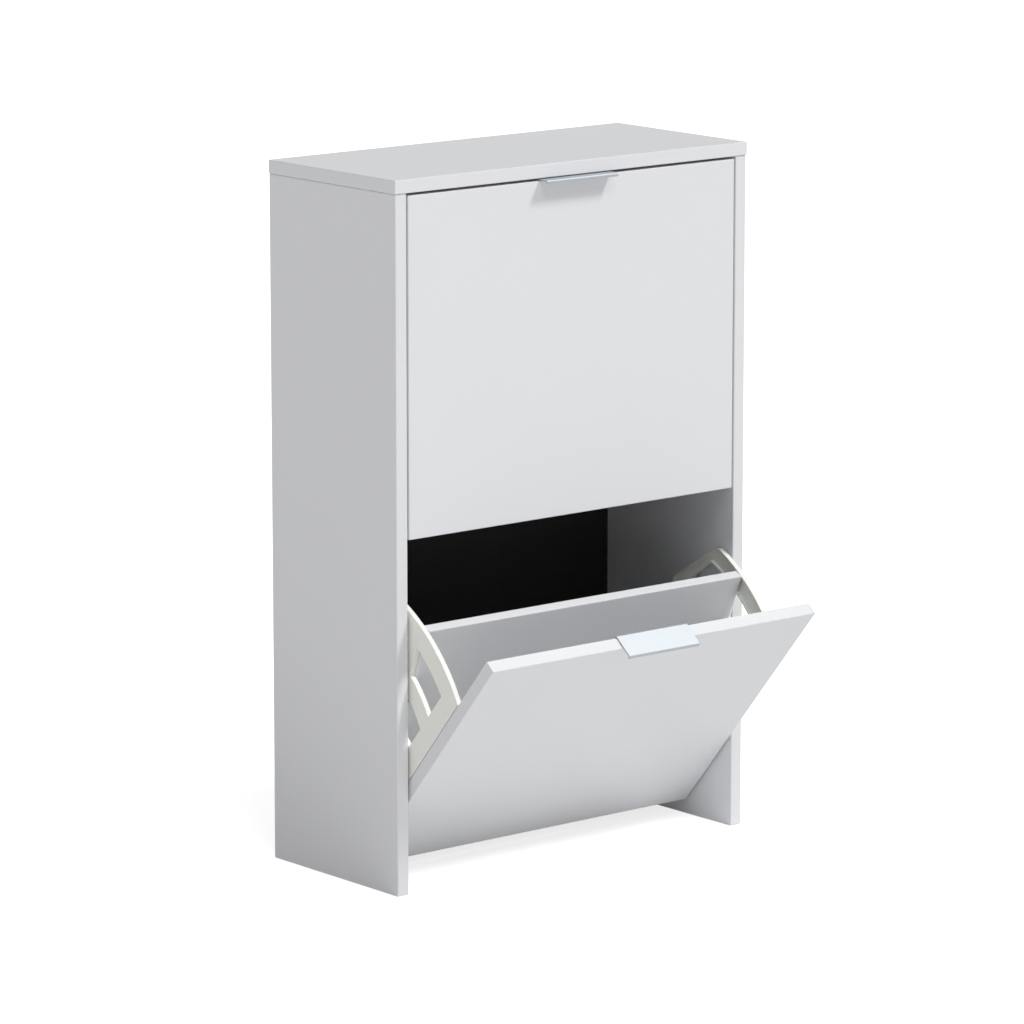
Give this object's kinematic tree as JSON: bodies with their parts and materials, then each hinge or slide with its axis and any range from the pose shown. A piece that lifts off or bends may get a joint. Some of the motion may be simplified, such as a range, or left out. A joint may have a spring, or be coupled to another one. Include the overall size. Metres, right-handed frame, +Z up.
{
  "type": "shoe cabinet",
  "caption": "Narrow tilt-out shoe cabinet on side boards, with two inset flaps that swing on moulded brackets and hold shoes in slanting pockets.",
  "frame": {"origin": "bottom centre of the bounding box at rest, with the upper flap shut and the lower flap open", "axes": "+Z up, +X to the right for someone facing the front, the front faces -Y"},
  "size_m": [0.5, 0.3708, 0.78],
  "materials": {
    "white_board": "white melamine faced board, fine texture",
    "dark_back": "dark faced hardboard",
    "cream_plastic": "moulded, off-white",
    "satin_aluminium": "satin anodised",
    "zinc_steel": "zinc plated",
    "grey_nylon": "moulded nylon",
    "beech": "plain beech"
  },
  "bodies": {
    "carcass": {"left_side_panel": "white_board", "right_side_panel": "white_board", "top_panel": "white_board", "back_panel": "dark_back", "upper_rear_rail": "white_board", "lower_rear_rail": "white_board", "top_dowel_left_front": "beech", "top_dowel_left_rear": "beech", "upper_rail_dowel_left": "beech", "lower_rail_dowel_left": "beech", "wall_anchor_screw_left": "zinc_steel", "top_dowel_right_front": "beech", "top_dowel_right_rear": "beech", "upper_rail_dowel_right": "beech", "lower_rail_dowel_right": "beech", "wall_anchor_screw_right": "zinc_steel", "wall_anchor": "zinc_steel", "upper_pivot_bush_left": "grey_nylon", "upper_stop_peg_left": "grey_nylon", "upper_pivot_bush_right": "grey_nylon", "upper_stop_peg_right": "grey_nylon", "lower_pivot_bush_left": "grey_nylon", "lower_stop_peg_left": "grey_nylon", "lower_pivot_bush_right": "grey_nylon", "lower_stop_peg_right": "grey_nylon"},
    "upper_flap": {"upper_flap_front": "white_board", "upper_middle_divider": "white_board", "upper_rear_divider": "white_board", "upper_pocket_base": "white_board", "upper_flap_handle": "satin_aluminium", "upper_left_bracket": "cream_plastic", "upper_left_bracket_screw_top": "zinc_steel", "upper_left_bracket_screw_bottom": "zinc_steel", "upper_pivot_pin_left": "grey_nylon", "upper_handle_screw_left": "zinc_steel", "upper_right_bracket": "cream_plastic", "upper_right_bracket_screw_top": "zinc_steel", "upper_right_bracket_screw_bottom": "zinc_steel", "upper_pivot_pin_right": "grey_nylon", "upper_handle_screw_right": "zinc_steel"},
    "lower_flap": {"lower_flap_front": "white_board", "lower_middle_divider": "white_board", "lower_rear_divider": "white_board", "lower_pocket_base": "white_board", "lower_flap_handle": "satin_aluminium", "lower_left_bracket": "cream_plastic", "lower_left_bracket_screw_top": "zinc_steel", "lower_left_bracket_screw_bottom": "zinc_steel", "lower_pivot_pin_left": "grey_nylon", "lower_handle_screw_left": "zinc_steel", "lower_right_bracket": "cream_plastic", "lower_right_bracket_screw_top": "zinc_steel", "lower_right_bracket_screw_bottom": "zinc_steel", "lower_pivot_pin_right": "grey_nylon", "lower_handle_screw_right": "zinc_steel"}
  },
  "joints": [
    {"name": "upper_flap_tilt", "type": "hinge", "parent": "carcass", "child": "upper_flap", "pos_m": [0, 0.04156, 0.478], "axis": [1, 0, 0], "range_deg": [0, 40.3]},
    {"name": "lower_flap_tilt", "type": "hinge", "parent": "carcass", "child": "lower_flap", "pos_m": [0, 0.04156, 0.1325], "axis": [1, 0, 0], "range_deg": [-40.3, 0]}
  ]
}
